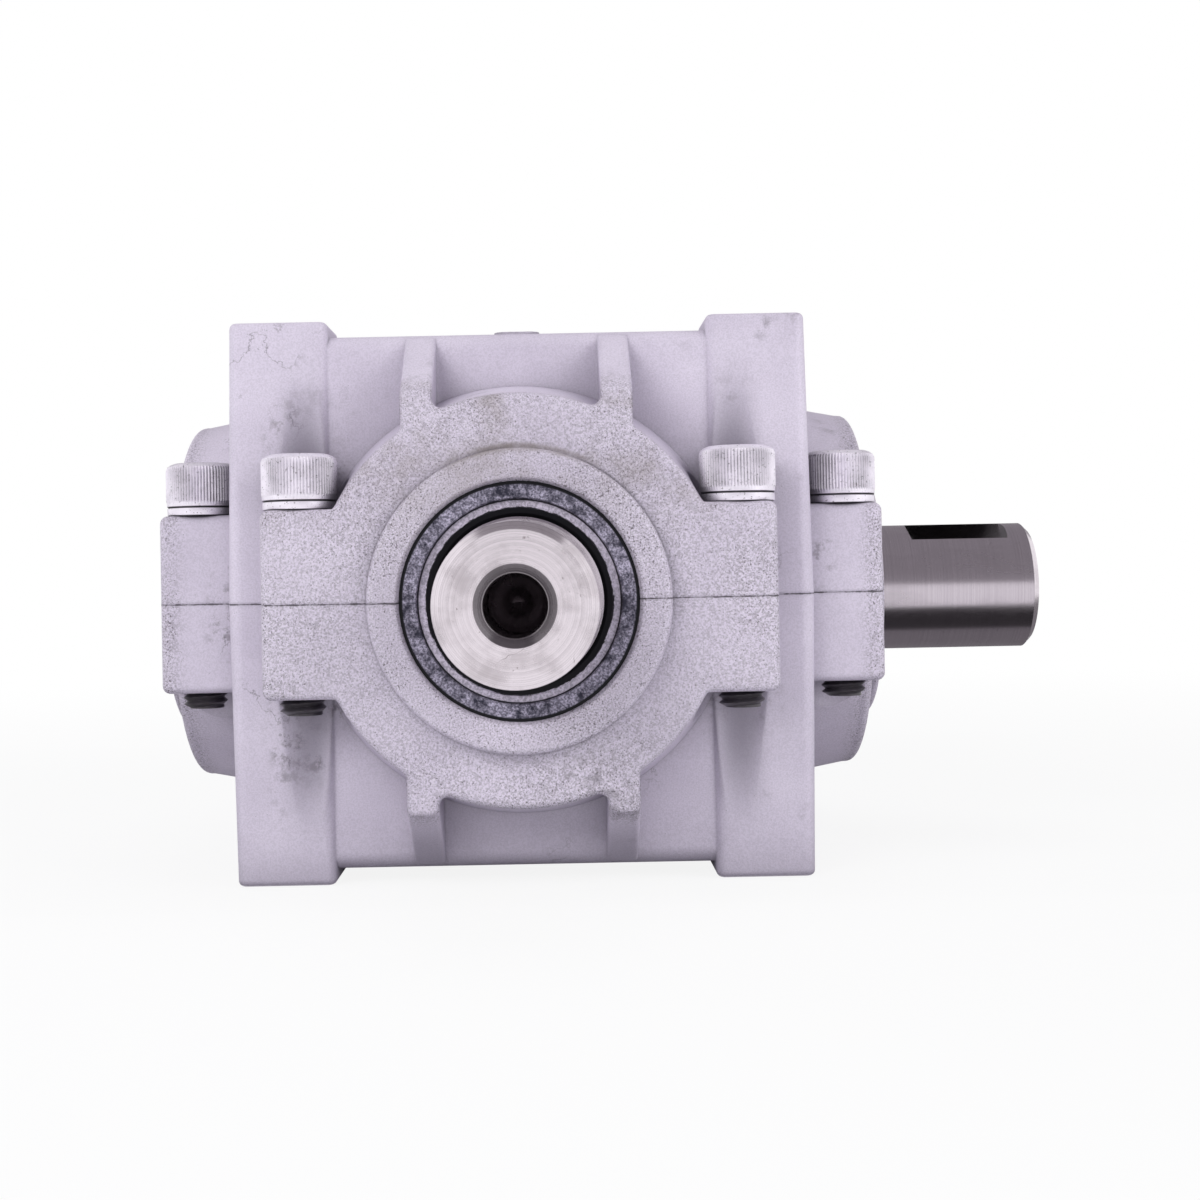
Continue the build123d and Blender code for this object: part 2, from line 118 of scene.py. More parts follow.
def bump(tree, shader, height, strength, distance):
    node = addNode(tree, "ShaderNodeBump")
    node.inputs["Strength"].default_value = strength
    node.inputs["Distance"].default_value = distance
    tree.links.new(height, node.inputs["Height"])
    tree.links.new(node.outputs["Normal"], shader.inputs["Normal"])


def splitAxes(tree, coords):
    node = addNode(tree, "ShaderNodeSeparateXYZ")
    tree.links.new(coords, node.inputs[0])
    return node.outputs[0], node.outputs[1], node.outputs[2]


def inverse(tree, value):
    return maths(tree, "SUBTRACT", 1, value)


def product(tree, *values):
    result = values[0]
    for value in values[1:]:
        result = maths(tree, "MULTIPLY", result, value)
    return result


def raised(tree, value, gain, base):
    # value * gain + base
    return maths(tree, "ADD", product(tree, value, gain), base)


def offset(tree, value, middle):
    # distance of a value from its middle
    return maths(tree, "ABSOLUTE", maths(tree, "SUBTRACT", value, middle))


def tint(tree, colour, layer, *masks):
    # a second colour laid over the first by the product of the masks
    return mixColour(tree, product(tree, *masks), colour, layer)


def radiusAbout(tree, across, z):
    # distance from a shaft axis that lies level at axisHeight
    squares = []
    for side in (across, maths(tree, "SUBTRACT", z, axisHeight)):
        squares.append(maths(tree, "POWER", maths(tree, "ABSOLUTE", side), 2))
    return maths(tree, "SQRT", maths(tree, "ADD", *squares))


def shelter(tree, distance, low, high):
    # 1 deep in corners and hollows, 0 on open faces
    node = addNode(tree, "ShaderNodeAmbientOcclusion", samples=6)
    node.inputs["Distance"].default_value = distance
    return inverse(tree, ramp(tree, node.outputs["AO"], low, high))


# blasted die casting: pale lavender grey, grainy and speckled on the outer faces

castLook = {
    "clean": (0.67, 0.612, 0.73),
    "pale": (0.76, 0.70, 0.82),
    "speckle": (0.12, 0.105, 0.12),
    "sparkle": (0.86, 0.81, 0.90),
    "stain": (0.27, 0.235, 0.215),
    "hollowShade": (0.22, 0.20, 0.25),
    "line": (0.05, 0.045, 0.05),
    "faceReach": 0.0645,       # boss and flange faces, from the middle of the box
    "postReach": 0.0550,       # the scoops end before this reach
    "ringRoot": 0.0257,        # radius at the foot of a raised ring
    "lineHalf": 0.00007,
    "grainScale": 3300,
    "lightGrainScale": 3100,
    "grainShare": 0.15,
    "faceGrainShare": 0.40,
    "pitScale": 2800,
    "pitShare": 0.88,
    "dirtShare": 0.42,
    "smearShare": 0.65,
    "smudgeShare": 0.45,
    "ringLineShare": 0.60,
    "crackShare": 0.55,
    "hollowShadeShare": 0.50,
    "scoopShadeShare": 0.75,
    "dentShare": 0.65,
    "lineShare": 0.80,
    "metallic": 0.20,
    "roughness": 0.50,
    "edgeRound": 0.0011,
    "reliefDepth": 0.00010,
}


def castGrain(tree, coords, colour, onFace, patch):
    # grain all over, coarser and darker on the outer faces of bosses and flanges
    look = castLook
    worn = product(tree, onFace, raised(tree, patch, 0.40, 0.60))
    grain = ramp(tree, noise(tree, coords, look["grainScale"], 2, 0.7), 0.42, 0.60)
    share = raised(tree, worn, look["faceGrainShare"], look["grainShare"])
    colour = tint(tree, colour, look["speckle"], grain, share)
    lightGrain = ramp(tree, noise(tree, coords, look["lightGrainScale"], 1, 0.5), 0.55, 0.68)
    colour = tint(tree, colour, look["sparkle"], lightGrain, worn, 0.45)
    pits = noise(tree, coords, look["pitScale"], 2, 0.65)
    threshold = maths(tree, "SUBTRACT", 0.73, product(tree, worn, 0.15))
    pit = ramp(tree, maths(tree, "SUBTRACT", pits, threshold), 0.0, 0.04)
    return tint(tree, colour, look["speckle"], pit, look["pitShare"])


def sealDirt(tree, coords, colour, nearAxis, offRing):
    # brown dirt above the front seal, thickest on the ring's upper edge
    look = castLook
    x, y, z = splitAxes(tree, coords)
    up = ramp(tree, z, axisHeight + 0.010, axisHeight + 0.024, True)
    front = ramp(tree, maths(tree, "MULTIPLY", y, -1), 0.060, 0.064, True)
    cloud = ramp(tree, noise(tree, coords, 95, 6, 0.6), 0.47, 0.66)
    colour = tint(tree, colour, look["stain"], up, front, cloud, look["dirtShare"])
    top = ramp(tree, z, axisHeight + 0.0215, axisHeight + 0.0250, True)
    edge = inverse(tree, ramp(tree, offRing, 0.0003, 0.0012, True))
    blotch = raised(tree, ramp(tree, noise(tree, coords, 240, 5, 0.7), 0.35, 0.6), 0.6, 0.25)
    colour = tint(tree, colour, look["stain"], top, front, edge, blotch)

    # the same dirt wiped round the ring in arcs, on its upper left
    arcs = addNode(tree, "ShaderNodeCombineXYZ")
    tree.links.new(nearAxis, arcs.inputs[0])
    streak = ramp(tree, noise(tree, arcs.outputs[0], 700, 4, 0.7), 0.48, 0.62)
    upperLeft = ramp(tree, maths(tree, "SUBTRACT", z, x), axisHeight + 0.019, axisHeight + 0.025, True)
    onRing = inverse(tree, ramp(tree, nearAxis, 0.0240, 0.0252))
    return tint(tree, colour, look["stain"], upperLeft, onRing, front, streak, blotch, look["smearShare"])


def castWearAndShade(tree, coords, colour, onFace, patch, offRing):
    # dark smudges, a dark line at the foot of the raised rings, fine cracks of the cast skin, then painted
    # shade in the hollows
    look = castLook
    smudgePatch = ramp(tree, noise(tree, coords, 44, 3), 0.60, 0.70)
    smudge = ramp(tree, noise(tree, coords, 420, 5, 0.7), 0.50, 0.66)
    colour = tint(tree, colour, look["speckle"], smudgePatch, smudge, look["smudgeShare"])
    ringLine = product(tree, onFace, inverse(tree, ramp(tree, offRing, 0.00008, 0.0004)), patch)
    vein = offset(tree, noise(tree, coords, 95, 6, 0.6), 0.5)
    veinPatch = ramp(tree, noise(tree, coords, 38, 2), 0.63, 0.69)
    crack = product(tree, inverse(tree, ramp(tree, vein, 0.002, 0.009)), veinPatch)
    ringLine = product(tree, ringLine, look["ringLineShare"])
    crack = product(tree, crack, look["crackShare"])
    colour = tint(tree, colour, look["speckle"], maths(tree, "MAXIMUM", ringLine, crack))

    # painted shade in the hollows and along the feet of bosses and ribs, deeper where the surface is more
    # enclosed
    return tint(tree, colour, look["hollowShade"], shelter(tree, 0.014, 0.30, 0.80), look["hollowShadeShare"])


def scoopShadeAndDents(tree, coords, colour, reach, least, away):
    # painted shade in the scoops that run up and down the posts from each screw, darker than the shallow
    # scoops of the shape give, and dark dents in and beside them
    look = castLook
    beside = offset(tree, least, screwSpread)
    fading = inverse(tree, ramp(tree, away, 0.024, 0.044, True))
    behind = inverse(tree, ramp(tree, reach, look["postReach"], look["postReach"] + 0.0025))
    onPost = product(tree, fading, behind)
    # painted shade down the middle of each scoop
    scoop = product(tree, onPost, inverse(tree, ramp(tree, beside, 0.0004, 0.0062, True)))
    colour = tint(tree, colour, look["hollowShade"], scoop, look["scoopShadeShare"])
    dentPatch = ramp(tree, noise(tree, coords, 75, 3), 0.50, 0.60)
    dent = product(tree, dentPatch, ramp(tree, noise(tree, coords, 400, 6, 0.75), 0.49, 0.60))
    nearScoop = product(tree, onPost, inverse(tree, ramp(tree, beside, 0.0050, 0.0090, True)))
    return tint(tree, colour, look["speckle"], dent, nearScoop, look["dentShare"])


def partingLine(tree, coords, colour, away):
    # dark line between the halves, with small chips along it
    look = castLook
    wobble = product(tree, ramp(tree, noise(tree, coords, 520, 3, 0.7), 0.40, 0.72), 0.00020)
    line = inverse(tree, ramp(tree, maths(tree, "SUBTRACT", away, wobble), 0, look["lineHalf"]))
    return tint(tree, colour, look["line"], line, look["lineShare"])


def castRelief(tree, coords, shader):
    # softened edges with the fine roughness of the blasting on top
    soft = addNode(tree, "ShaderNodeBevel")
    soft.samples = 4
    soft.inputs["Radius"].default_value = castLook["edgeRound"]
    relief = addNode(tree, "ShaderNodeBump")
    relief.inputs["Strength"].default_value = 0.6
    relief.inputs["Distance"].default_value = castLook["reliefDepth"]
    tree.links.new(noise(tree, coords, 2000, 3, 0.6), relief.inputs["Height"])
    tree.links.new(soft.outputs["Normal"], relief.inputs["Normal"])
    tree.links.new(relief.outputs["Normal"], shader.inputs["Normal"])


def castMaterial():
    look = castLook
    mat, tree, shader = newMaterial("castHousing")
    coords = objectCoords(tree)
    x, y, z = splitAxes(tree, coords)
    sides = [maths(tree, "ABSOLUTE", side) for side in (x, y)]
    reach = maths(tree, "MAXIMUM", *sides)
    least = maths(tree, "MINIMUM", *sides)
    away = offset(tree, z, axisHeight)
    nearAxis = maths(tree, "MINIMUM", radiusAbout(tree, y, z), radiusAbout(tree, x, z))
    offRing = offset(tree, nearAxis, look["ringRoot"])
    onFace = ramp(tree, reach, look["faceReach"] - 0.005, look["faceReach"] - 0.001, True)
    patch = ramp(tree, noise(tree, coords, 48, 4), 0.36, 0.66, True)

    cloud = ramp(tree, noise(tree, coords, 55, 5), 0.35, 0.68)
    colour = mixColour(tree, cloud, look["clean"], look["pale"])
    colour = castGrain(tree, coords, colour, onFace, patch)
    colour = sealDirt(tree, coords, colour, nearAxis, offRing)
    colour = castWearAndShade(tree, coords, colour, onFace, patch, offRing)
    colour = scoopShadeAndDents(tree, coords, colour, reach, least, away)
    colour = partingLine(tree, coords, colour, away)
    tree.links.new(colour, shader.inputs["Base Color"])
    shader.inputs["Metallic"].default_value = look["metallic"]
    shader.inputs["Roughness"].default_value = look["roughness"]
    castRelief(tree, coords, shader)
    return mat


# ground steel of the shafts: fine turning marks, stains, a dark tapped hole in the end

shaftLook = {
    "low": (0.66, 0.60, 0.65),
    "high": (0.84, 0.77, 0.83),
    "stain": (0.30, 0.26, 0.27),
    "body": (0.44, 0.39, 0.45),
    "sink": (0.10, 0.09, 0.10),
    "oil": (0.045, 0.050, 0.045),
    "hole": (0.36, 0.33, 0.35),
    "bodyRadius": 0.01235,
    "sinkRadius": 0.00618,
    "holeRadius": 0.0049,
    "seatStart": 0.0700,
    "seatEnd": 0.0990,
    "pitch": 0.00175,
}


def shaftMarks(tree, coords, colour, axis):
    # stains drawn out along the shaft, dark specks and a few scratches
    look = shaftLook
    stretch = addNode(tree, "ShaderNodeVectorMath", operation="MULTIPLY")
    stretch.inputs[1].default_value = ((0.25, 1, 1), (1, 0.25, 1))[axis]
    tree.links.new(coords, stretch.inputs[0])
    stain = ramp(tree, noise(tree, stretch.outputs[0], 160, 4), 0.48, 0.76)
    specks = ramp(tree, noise(tree, coords, 900, 2, 0.7), 0.70, 0.76)
    colour = tint(tree, colour, look["stain"], stain, 0.42)
    colour = tint(tree, colour, look["stain"], specks, 0.70)
    scratch = offset(tree, noise(tree, coords, 70, 3), 0.5)
    scratchPatch = ramp(tree, noise(tree, coords, 150, 2), 0.58, 0.64)
    line = inverse(tree, ramp(tree, scratch, 0.0006, 0.0022))
    return tint(tree, colour, look["stain"], line, scratchPatch, 0.75), stain


def shaftMaterial(name, axis):
    look = shaftLook
    mat, tree, shader = newMaterial(name)
    coords = objectCoords(tree)
    x, y, z = splitAxes(tree, coords)
    across = (y, x)[axis]
    along = (x, y)[axis]
    radius = radiusAbout(tree, across, z)
    turning = addNode(tree, "ShaderNodeCombineXYZ")
    tree.links.new(radius, turning.inputs[0])
    tree.links.new(product(tree, along, 0.7), turning.inputs[1])
    rings = noise(tree, turning.outputs[0], 9000, 2, 0.7)
    colour = mixColour(tree, ramp(tree, rings, 0.30, 0.60), look["low"], look["high"])
    colour, stain = shaftMarks(tree, coords, colour, axis)

    # a darker round body, partly stain and partly painted shade for its duller reflection beside the turned
    # end; oil in the key seat; painted shade in the countersink and the tapped hole
    body = ramp(tree, radius, look["bodyRadius"], look["bodyRadius"] + 0.0001)
    colour = tint(tree, colour, look["body"], body, 0.55)
    reach = maths(tree, "ABSOLUTE", along)
    pastStart = ramp(tree, reach, look["seatStart"], look["seatStart"] + 0.0010)
    beforeEnd = inverse(tree, ramp(tree, reach, look["seatEnd"], look["seatEnd"] + 0.0005))
    colour = tint(tree, colour, look["oil"], pastStart, beforeEnd, inverse(tree, body), 0.75)
    # painted shade in the countersink, for its darker reflection
    inSink = inverse(tree, ramp(tree, radius, look["sinkRadius"], look["sinkRadius"] + 0.00008))
    colour = tint(tree, colour, look["sink"], inSink, 0.72)
    # painted shade in the tapped hole
    inHole = inverse(tree, ramp(tree, radius, look["holeRadius"], look["holeRadius"] + 0.0001))
    colour = tint(tree, colour, look["hole"], inHole)
    tree.links.new(colour, shader.inputs["Base Color"])
    shader.inputs["Metallic"].default_value = 1.0
    tree.links.new(raised(tree, stain, 0.12, 0.22), shader.inputs["Roughness"])
    thread = maths(tree, "PINGPONG", along, look["pitch"] / 2)
    thread = product(tree, thread, inHole, 2 / look["pitch"] * 6)
    bump(tree, shader, maths(tree, "ADD", rings, thread), 0.16, 0.00005)
    return mat


def steelMaterial(name, colourLow, colourHigh, roughness, scale=240.0, metallic=1.0, strength=0.15):
    mat, tree, shader = newMaterial(name)
    coords = objectCoords(tree)
    cloud = ramp(tree, noise(tree, coords, scale, 4), 0.32, 0.70)
    tree.links.new(mixColour(tree, cloud, colourLow, colourHigh), shader.inputs["Base Color"])
    shader.inputs["Metallic"].default_value = metallic
    shader.inputs["Roughness"].default_value = roughness
    bump(tree, shader, noise(tree, coords, scale * 8, 3), strength, 0.00008)
    return mat


washerLevels = (axisHeight + 0.0160, axisHeight + 0.0176)      # underside and top of the spring washers

screwLook = {
    "dull": (0.84, 0.79, 0.88),
    "bright": (0.96, 0.905, 1.0),
    "speck": (0.10, 0.09, 0.10),
    "thread": (0.045, 0.04, 0.045),
    "grimeAndShade": (0.05, 0.045, 0.055),
    "oil": (0.02, 0.018, 0.02),
    "metallic": 0.45,
    "roughness": 0.36,
}


def screwMaterial(name):
    # satin zinc on head and washer, painted shade in the corners round them, dirt in the knurls, oil in the
    # joints, dark thread below the flange
    look = screwLook
    mat, tree, shader = newMaterial(name)
    coords = objectCoords(tree)
    z = splitAxes(tree, coords)[2]
    cloud = ramp(tree, noise(tree, coords, 300, 4), 0.32, 0.70)
    colour = mixColour(tree, cloud, look["dull"], look["bright"])
    specks = ramp(tree, noise(tree, coords, 1900, 2, 0.7), 0.62, 0.68)
    colour = tint(tree, colour, look["speck"], specks, 0.65)
    low = inverse(tree, ramp(tree, z, axisHeight - 0.002, axisHeight + 0.002))
    colour = tint(tree, colour, look["thread"], low, 0.95)
    # painted shade where heads and washers sit close to the posts and to each other
    colour = tint(tree, colour, look["grimeAndShade"], shelter(tree, 0.007, 0.25, 0.70), 0.80)
    knurlPatch = raised(tree, ramp(tree, noise(tree, coords, 330, 4), 0.40, 0.64), 0.65, 0.06)
    colour = tint(tree, colour, look["grimeAndShade"], shelter(tree, 0.0006, 0.55, 0.95), knurlPatch)
    for level in washerLevels:
        oil = inverse(tree, ramp(tree, offset(tree, z, level), 0.00010, 0.00022))
        colour = tint(tree, colour, look["oil"], oil, 0.9)
    tree.links.new(colour, shader.inputs["Base Color"])
    shader.inputs["Metallic"].default_value = look["metallic"]
    shader.inputs["Roughness"].default_value = look["roughness"]
    bump(tree, shader, noise(tree, coords, 2400, 3), 0.3, 0.00006)
    return mat


# rubber seals and caps: dust on the face, a paler sprung band, black lips

sealLook = {
    "rubber": (0.030, 0.029, 0.045),
    "dust": (0.56, 0.52, 0.66),
    "pale": (0.66, 0.60, 0.71),
    "black": (0.008, 0.008, 0.010),
    "outer": 0.0195,
    "groove": 0.0169,
    "lip": 0.0156,
}


# the end caps have the same rubber with no lips: one dusty dish inside the rim
capLook = {
    "rubber": (0.030, 0.029, 0.040),
    "dust": (0.26, 0.24, 0.31),
    "pale": (0.10, 0.095, 0.12),
    "black": (0.008, 0.008, 0.010),
    "outer": 0.0195,
    "groove": 0.0171,
    "lip": 0.0,
}


def sealMaterial(name, axis, look):
    mat, tree, shader = newMaterial(name)
    coords = objectCoords(tree)
    x, y, z = splitAxes(tree, coords)
    radius = radiusAbout(tree, (y, x)[axis], z)
    dust = ramp(tree, noise(tree, coords, 420, 6, 0.78), 0.38, 0.60)
    fine = ramp(tree, noise(tree, coords, 2600, 2, 0.7), 0.42, 0.60)
    cover = product(tree, dust, raised(tree, fine, 0.70, 0.25))
    colour = mixColour(tree, cover, look["rubber"], look["dust"])
    band = inverse(tree, ramp(tree, radius, look["groove"] - 0.0002, look["groove"]))
    colour = tint(tree, colour, look["pale"], band, raised(tree, fine, 0.45, 0.45))

    # black where light doesn't reach: the groove, the rim and the lip with its ragged edge
    groove = inverse(tree, ramp(tree, offset(tree, radius, look["groove"]), 0.00005, 0.00018))
    rim = ramp(tree, radius, look["outer"] - 0.0002, look["outer"])
    ragged = product(tree, maths(tree, "SUBTRACT", dust, 0.5), 0.0003)
    lip = inverse(tree, ramp(tree, maths(tree, "ADD", radius, ragged), look["lip"], look["lip"] + 0.0001))
    dark = maths(tree, "MAXIMUM", maths(tree, "MAXIMUM", groove, rim), lip)
    colour = tint(tree, colour, look["black"], dark)
    tree.links.new(colour, shader.inputs["Base Color"])
    shader.inputs["Roughness"].default_value = 0.50
    shader.inputs["Specular IOR Level"].default_value = 0.15
    bump(tree, shader, noise(tree, coords, 900, 4), 0.5, 0.00015)
    return mat


materials = {
    "housing": castMaterial(),
    "crossShaft": shaftMaterial("crossShaftSteel", 0),
    "frontShaft": shaftMaterial("frontShaftSteel", 1),
    "screw": screwMaterial("screwSteel"),
    "washer": screwMaterial("washerSteel"),
    "pin_steel": steelMaterial("pinSteel", (0.40, 0.40, 0.42), (0.55, 0.55, 0.57), 0.30),
    "crossSeal": sealMaterial("crossSealRubber", 0, sealLook),
    "frontSeal": sealMaterial("frontSealRubber", 1, sealLook),
    "crossCap": sealMaterial("crossCapRubber", 0, capLook),
    "rearCap": sealMaterial("rearCapRubber", 1, capLook),
    "spring": steelMaterial("springSteel", (0.30, 0.30, 0.32), (0.45, 0.45, 0.47), 0.32),
    "gear": steelMaterial("gearSteel", (0.30, 0.28, 0.27), (0.46, 0.43, 0.42), 0.28, 180),
    "spacer": steelMaterial("spacerSteel", (0.42, 0.41, 0.42), (0.58, 0.57, 0.58), 0.34),
    "bearing": steelMaterial("bearingSteel", (0.55, 0.55, 0.57), (0.70, 0.70, 0.72), 0.18),
    "ball": steelMaterial("ballSteel", (0.70, 0.70, 0.72), (0.80, 0.80, 0.82), 0.10, 240, 1.0, 0.02),
    "cage": steelMaterial("cageBrass", (0.62, 0.44, 0.18), (0.74, 0.56, 0.27), 0.33),
}
print("materials made")

specialSlots = {
    "cross_shaft": "crossShaft",
    "front_shaft": "frontShaft",
    "right_oil_seal": "crossSeal",
    "left_end_cap": "crossCap",
    "front_oil_seal": "frontSeal",
    "rear_end_cap": "rearCap",
}
slotOf = {part["node"]: part["material_slot"] for part in frame["record"]["subparts"]}
for name, obj in nodes.items():
    key = specialSlots.get(name, slotOf[name])
    obj.data.materials.clear()
    obj.data.materials.append(materials[key])
print("materials set on the CAD nodes")


# grids of points to meshes

def gridMesh(name, points, closeAcross=False):
    # points is rows by columns by 3; each cell becomes a quad
    rows, columns = points.shape[:2]
    column = np.arange(columns if closeAcross else columns - 1)
    r, c = np.meshgrid(np.arange(rows - 1), column, indexing="ij")
    c2 = (c + 1) % columns
    corners = [r * columns + c, r * columns + c2, (r + 1) * columns + c2, (r + 1) * columns + c]
    faces = np.stack(corners, axis=-1).reshape(-1, 4)
    mesh = bpy.data.meshes.new(name)
    mesh.from_pydata(points.reshape(-1, 3).tolist(), [], faces.tolist())
    return mesh


def makeObject(name, mesh, material, body):
    mesh.materials.append(material)
    mesh.polygons.foreach_set("use_smooth", [True] * len(mesh.polygons))
    mesh.set_sharp_from_angle(angle=math.radians(smoothBelow))
    obj = bpy.data.objects.new(name, mesh)
    scene.collection.objects.link(obj)
    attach(obj, body)
    return obj


def joinMeshes(name, meshes):
    # one mesh from several, with doubled points at seams and poles welded
    work = bmesh.new()
    for mesh in meshes:
        work.from_mesh(mesh)
        bpy.data.meshes.remove(mesh)
    bmesh.ops.remove_doubles(work, verts=work.verts, dist=1e-6)
    bmesh.ops.recalc_face_normals(work, faces=work.faces)
    joined = bpy.data.meshes.new(name)
    work.to_mesh(joined)
    work.free()
    return joined


# socket cap screws with knurled heads and a cut thread

capScrew = {
    "reach": 0.0582,
    "spread": screwSpread,
    "seat": washerLevels[1],
    "headRadius": 0.0065,
    "headHeight": 0.0080,
    "edge": 0.0010,
    "knurlDepth": 0.00026,
    "knurlCount": 72,
    "knurlStart": 0.0012,
    "neckHeight": 0.0008,
    "neckStep": 0.0001,
    "footEdge": 0.0002,
    "socketRadius": 0.00346,
    "socketDepth": 0.0042,
    "socketEdge": 0.0002,
    "threadRadius": 0.0040,
    "threadDepth": 0.0007,
    "pitch": 0.00125,
    "tipTaper": 0.0008,
    "tipShare": 0.82,
    "threadTop": axisHeight - 0.0150,
    "tip": axisHeight - 0.0189,
}


def screwPlaces():
    # eight places around the housing, two on each side
    s = capScrew
    places = []
    for turn in range(4):
        along = (math.cos(turn * math.pi / 2), math.sin(turn * math.pi / 2))
        for side in (-1, 1):
            px = s["reach"] * along[0] - side * s["spread"] * along[1]
            py = s["reach"] * along[1] + side * s["spread"] * along[0]
            places.append((px, py))
    return places


def screwHead(px, py):
    # radius = profile(v) - depth * (0.5 + 0.5 cos(knurls * angle)) on the knurled band
    s = capScrew
    around = np.linspace(0, 2 * np.pi, s["knurlCount"] * 4, endpoint=False)
    hexagon = s["socketRadius"] * np.cos(np.pi / 6) / np.cos((around % (np.pi / 3)) - np.pi / 6)
    bottom = s["seat"]
    top = bottom + s["headHeight"]
    floor = top - s["socketDepth"]
    edge = s["edge"]
    full = s["headRadius"]
    neck = full - s["neckStep"]
    sink = s["socketEdge"]
    rows = [
        (floor, hexagon * 0.001, 0),
        (floor, hexagon, 0),
        (top - sink, hexagon, 0),
        (top, hexagon + sink, 0),
        (top, full - edge * 1.6, 0),
        (top - edge * 0.25, full - edge * 0.9, 0),
        (top - edge * 0.7, full - edge * 0.25, 0.3),
        (top - edge * 1.3, full, 1),
        (bottom + s["knurlStart"], full, 1),
        (bottom + s["neckHeight"], neck, 0),
        (bottom + s["footEdge"], neck, 0),
        (bottom, neck - s["footEdge"], 0),
        (bottom, 0.00001, 0),
    ]
    wave = s["knurlDepth"] * (0.5 + 0.5 * np.cos(s["knurlCount"] * around))
    grid = np.zeros((len(rows), len(around), 3))
    for index, (height, radius, knurled) in enumerate(rows):
        r = radius - wave * knurled
        grid[index, :, 0] = px + r * np.cos(around)
        grid[index, :, 1] = py + r * np.sin(around)
        grid[index, :, 2] = height
    return gridMesh("head", grid, closeAcross=True)


def screwThread(px, py):
    # helix: radius = outer - depth * triangle(height / pitch - angle / 2 pi)
    s = capScrew
    around = np.linspace(0, 2 * np.pi, 48, endpoint=False)
    heights = np.linspace(s["threadTop"], s["tip"], 40)
    h, a = np.meshgrid(heights, around, indexing="ij")
    phase = (h / s["pitch"] - a / (2 * np.pi)) % 1.0
    groove = s["threadDepth"] * np.abs(2 * phase - 1)
    taper = np.clip((h - s["tip"]) / s["tipTaper"], 0, 1)
    r = (s["threadRadius"] - groove) * (s["tipShare"] + (1 - s["tipShare"]) * taper)
    grid = np.stack([px + r * np.cos(a), py + r * np.sin(a), h], axis=-1)
    caps = grid[[0, -1]]      # both ends drawn in to the axis
    caps[..., 0], caps[..., 1] = px, py
    return gridMesh("thread", np.concatenate([caps[:1], grid, caps[1:]]), closeAcross=True)


# split spring washers, each with its slit turned to the middle of the housing

springWasher = {
    "inner": 0.00415,
    "outer": 0.00632,
    "slit": 0.0007,
    "squareness": 7.0,
    "lift": 0.00005,
}


def washerMesh(px, py):
    # section: superellipse |u|^n + |v|^n = 1, carried round the screw from one side of the slit to the other
    w = springWasher
    low, high = washerLevels
    middle = (w["inner"] + w["outer"]) / 2
    toMiddle = math.atan2(-py, -px)
    halfSlit = w["slit"] / 2 / middle
    turn = toMiddle + np.linspace(halfSlit, 2 * np.pi - halfSlit, 96)
    turn = np.concatenate([turn[:1], turn, turn[-1:]])
    around = np.linspace(0, 2 * np.pi, 28, endpoint=False)
    size = np.ones_like(turn)
    size[0] = size[-1] = 0
    power = 2 / w["squareness"]
    u = np.sign(np.cos(around)) * np.abs(np.cos(around)) ** power
    v = np.sign(np.sin(around)) * np.abs(np.sin(around)) ** power
    radius = middle + size[:, None] * u * (w["outer"] - w["inner"]) / 2
    height = (low + high) / 2 + size[:, None] * v * ((high - low) / 2 - w["lift"])
    x = px + radius * np.cos(turn)[:, None]
    y = py + radius * np.sin(turn)[:, None]
    return gridMesh("washer", np.stack([x, y, height], axis=-1), closeAcross=True)


for number, (px, py) in enumerate(screwPlaces(), start=1):
    mesh = joinMeshes(f"screw{number}", [screwHead(px, py), screwThread(px, py)])
    screw = makeObject(f"capScrew{number}", mesh, materials["screw"], "housing")
    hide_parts("cap_screws")
    mesh = joinMeshes(f"washer{number}", [washerMesh(px, py)])
    washer = makeObject(f"springWasher{number}", mesh, materials["washer"], "housing")
    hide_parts("spring_washers")
print("screws and washers made")


# camera, lights and floor

view = {
    "distance": 0.3623,
    "side": 0.00587,
    "height": axisHeight + 0.00610,
    "yaw": -0.00079,
    "pitch": 0.01317,
    "roll": -0.01987,
    "focal": 1776.96,
    "centre": (552.28, 540.25),
    "frame": 1200,
}


def makeCamera():
    v = view
    level = Vector((math.sin(v["yaw"]), math.cos(v["yaw"]), 0))
    forward = level * math.cos(v["pitch"]) + Vector((0, 0, math.sin(v["pitch"])))
    side = Vector((math.cos(v["yaw"]), -math.sin(v["yaw"]), 0))
    up = side.cross(forward)
    sideRolled = side * math.cos(v["roll"]) + up * math.sin(v["roll"])
    upRolled = up * math.cos(v["roll"]) - side * math.sin(v["roll"])
    camera = bpy.data.cameras.new("photoCamera")
    camera.sensor_width = 36
    camera.sensor_fit = "HORIZONTAL"
    camera.lens = 36 * v["focal"] / v["frame"]
    camera.shift_x = (v["frame"] / 2 - v["centre"][0]) / v["frame"]
    camera.shift_y = (v["centre"][1] - v["frame"] / 2) / v["frame"]
    camera.clip_start = 0.01
    obj = bpy.data.objects.new("photoCamera", camera)
    scene.collection.objects.link(obj)
    axes = [sideRolled, upRolled, -forward]
    place = Vector((v["side"], -v["distance"], v["height"]))
    turn = Matrix((axes[0], axes[1], axes[2])).transposed()
    obj.matrix_world = Matrix.Translation(place) @ turn.to_4x4()
    scene.camera = obj


lights = {
    "keyLight": {"place": (-0.42, -0.60, 0.45), "size": (0.5, 0.4), "power": 3.4},
    "fillLight": {"place": (0.70, -0.48, 0.36), "size": (0.5, 0.5), "power": 3.3},
    "topLight": {"place": (0.05, 0.10, 0.95), "size": (0.6, 0.6), "power": 2.0},
    "backLight": {"place": (-0.5, 0.70, 0.45), "size": (0.6, 0.5), "power": 1.6},
}


